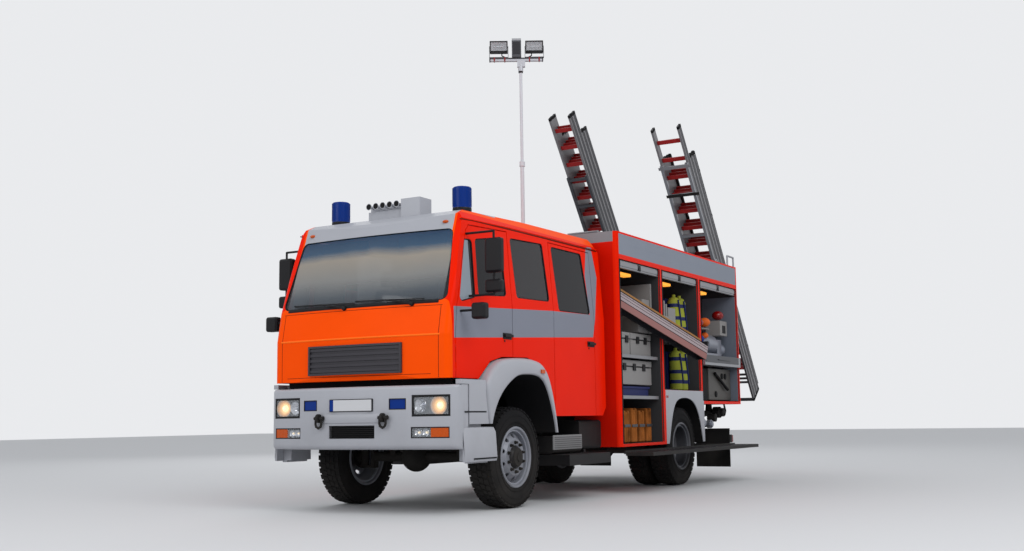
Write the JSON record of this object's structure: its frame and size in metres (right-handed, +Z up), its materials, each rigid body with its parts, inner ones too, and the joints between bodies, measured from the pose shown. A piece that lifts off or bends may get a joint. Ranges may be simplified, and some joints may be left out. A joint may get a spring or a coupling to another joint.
{
  "type": "fire engine",
  "caption": "Crew-cab fire engine with roller-shutter lockers, a raised telescopic light mast, tilting roof ladder racks and fold-down side steps.",
  "frame": {"origin": "ground level under the middle of the whole object's bounding box", "axes": "+X towards the cab, +Y towards the vehicle's left, +Z up"},
  "size_m": [10.1984, 3.28, 5.978],
  "materials": {
    "orange_paint": "gloss",
    "white_paint": "gloss",
    "black_paint": "satin",
    "grey_paint": "satin",
    "aluminium": "satin",
    "steel": "satin",
    "cast_iron": "matte",
    "tyre_rubber": "matte",
    "rubber": "matte",
    "black_plastic": "matte",
    "white_plastic": "gloss",
    "grey_plastic": "matte",
    "window_glass": "gloss",
    "clear_lens": "gloss",
    "amber_lens": "gloss",
    "blue_lens": "gloss",
    "red_lens": "gloss"
  },
  "bodies": {
    "root": {"chassis_frame": "black_paint", "engine_block": "cast_iron", "front_axle": "cast_iron", "rear_axle": "cast_iron", "side_tanks": "grey_paint", "cab_shell": "orange_paint", "cab_windows": "window_glass", "cab_interior": "grey_plastic", "bumper": "white_plastic", "grille": "black_plastic", "head_lamps": "clear_lens", "amber_lamps": "amber_lens", "blue_lamps": "blue_lens", "cab_steps": "white_plastic", "crew_steps": "black_paint", "front_arches": "white_plastic", "horn_bar": "white_plastic", "body_shell": "orange_paint", "body_shelves": "aluminium", "equipment": "grey_plastic", "roller_shutters": "aluminium", "rear_arches": "white_plastic", "tail_lamps": "red_lens", "pump_couplings": "aluminium", "mud_flaps": "rubber", "step_arms": "black_paint", "roof_fittings": "aluminium", "mast_base": "aluminium"},
    "knuckle_left": {"knuckle_left": "cast_iron"},
    "knuckle_right": {"knuckle_right": "cast_iron"},
    "front_wheel_left": {"front_tyre_left": "tyre_rubber", "front_rim_left": "steel"},
    "front_wheel_right": {"front_tyre_right": "tyre_rubber", "front_rim_right": "steel"},
    "rear_wheels_left": {"rear_tyres_left": "tyre_rubber", "rear_rims_left": "steel"},
    "rear_wheels_right": {"rear_tyres_right": "tyre_rubber", "rear_rims_right": "steel"},
    "driver_door_left": {"driver_door_left": "orange_paint", "driver_door_panes_left": "window_glass", "mirrors_left": "black_plastic"},
    "driver_door_right": {"driver_door_right": "orange_paint", "driver_door_panes_right": "window_glass", "mirrors_right": "black_plastic"},
    "crew_door_left": {"crew_door_left": "orange_paint", "crew_door_panes_left": "window_glass"},
    "crew_door_right": {"crew_door_right": "orange_paint", "crew_door_panes_right": "window_glass"},
    "step_board_left": {"step_board_left": "aluminium"},
    "step_board_right": {"step_board_right": "aluminium"},
    "ladder_rack_left": {"ladder_rack_left": "aluminium"},
    "ladder_rack_right": {"ladder_rack_right": "aluminium"},
    "ladders_left": {"ladders_left": "aluminium"},
    "ladders_right": {"ladders_right": "aluminium"},
    "mast_stage_1": {"mast_stage_1": "aluminium"},
    "mast_stage_2": {"mast_stage_2": "aluminium"},
    "mast_head": {"mast_head": "aluminium"},
    "floodlights": {"floodlights": "aluminium"},
    "side_tray": {"side_tray": "aluminium"}
  },
  "joints": [
    {"name": "steering_left", "type": "hinge", "parent": "root", "child": "knuckle_left", "pos_m": [3.67215, 0.86, 0.527], "axis": [0, 0, 1], "range_deg": [-30, 30]},
    {"name": "front_wheel_spin_left", "type": "hinge", "parent": "knuckle_left", "child": "front_wheel_left", "pos_m": [3.67215, 0.97, 0.527], "axis": [0, 1, 0], "continuous": true},
    {"name": "rear_wheels_spin_left", "type": "hinge", "parent": "root", "child": "rear_wheels_left", "pos_m": [-0.68785, 0.92, 0.527], "axis": [0, 1, 0], "continuous": true},
    {"name": "driver_door_hinge_left", "type": "hinge", "parent": "root", "child": "driver_door_left", "pos_m": [4.81215, 1.106, 2], "axis": [0, 0, -1], "range_deg": [0, 70]},
    {"name": "crew_door_hinge_left", "type": "hinge", "parent": "root", "child": "crew_door_left", "pos_m": [2.75215, 1.106, 2], "axis": [0, 0, -1], "range_deg": [0, 75]},
    {"name": "step_board_hinge_left", "type": "hinge", "parent": "root", "child": "step_board_left", "pos_m": [-0.70785, 1.29, 0.5], "axis": [1, 0, 0], "range_deg": [0, 90]},
    {"name": "ladder_rack_tilt_left", "type": "hinge", "parent": "root", "child": "ladder_rack_left", "pos_m": [-3.06785, 0.7, 3.35], "axis": [0, 1, 0], "range_deg": [0, 53]},
    {"name": "ladders_slide_left", "type": "slide", "parent": "ladder_rack_left", "child": "ladders_left", "axis": [0.6018, 0, 0.7986], "range_m": [0, 2.4]},
    {"name": "steering_right", "type": "hinge", "parent": "root", "child": "knuckle_right", "pos_m": [3.67215, -0.86, 0.527], "axis": [0, 0, 1], "range_deg": [-30, 30]},
    {"name": "front_wheel_spin_right", "type": "hinge", "parent": "knuckle_right", "child": "front_wheel_right", "pos_m": [3.67215, -0.97, 0.527], "axis": [0, 1, 0], "continuous": true},
    {"name": "rear_wheels_spin_right", "type": "hinge", "parent": "root", "child": "rear_wheels_right", "pos_m": [-0.68785, -0.92, 0.527], "axis": [0, 1, 0], "continuous": true},
    {"name": "driver_door_hinge_right", "type": "hinge", "parent": "root", "child": "driver_door_right", "pos_m": [4.81215, -1.106, 2], "axis": [0, 0, 1], "range_deg": [0, 70]},
    {"name": "crew_door_hinge_right", "type": "hinge", "parent": "root", "child": "crew_door_right", "pos_m": [2.75215, -1.106, 2], "axis": [0, 0, 1], "range_deg": [0, 75]},
    {"name": "step_board_hinge_right", "type": "hinge", "parent": "root", "child": "step_board_right", "pos_m": [-0.70785, -1.29, 0.5], "axis": [-1, 0, 0], "range_deg": [0, 90]},
    {"name": "ladder_rack_tilt_right", "type": "hinge", "parent": "root", "child": "ladder_rack_right", "pos_m": [-3.06785, -0.95, 3.35], "axis": [0, 1, 0], "range_deg": [0, 53]},
    {"name": "ladders_slide_right", "type": "slide", "parent": "ladder_rack_right", "child": "ladders_right", "axis": [0.6018, 0, 0.7986], "range_m": [0, 2.4]},
    {"name": "mast_stage_1_slide", "type": "slide", "parent": "root", "child": "mast_stage_1", "axis": [0, 0, 1], "range_m": [-0.8, 0]},
    {"name": "mast_stage_2_slide", "type": "slide", "parent": "mast_stage_1", "child": "mast_stage_2", "axis": [0, 0, 1], "range_m": [-1.2, 0]},
    {"name": "mast_head_turn", "type": "hinge", "parent": "mast_stage_2", "child": "mast_head", "pos_m": [1.17215, -0.165, 5.56], "axis": [0, 0, 1], "range_deg": [-170, 170]},
    {"name": "floodlight_tilt", "type": "hinge", "parent": "mast_head", "child": "floodlights", "pos_m": [1.1984, -0.21047, 5.868], "axis": [-0.5, 0.866, 0], "range_deg": [-45, 45]},
    {"name": "side_tray_tilt", "type": "hinge", "parent": "root", "child": "side_tray", "pos_m": [1.17215, 1.03, 2.42], "axis": [0.2588, 0.9659, 0], "range_deg": [0, 19]}
  ],
  "couplings": [
    {"joint": "steering_right", "follows": "steering_left", "ratio": 1},
    {"joint": "mast_stage_2_slide", "follows": "mast_stage_1_slide", "ratio": 1.5}
  ]
}
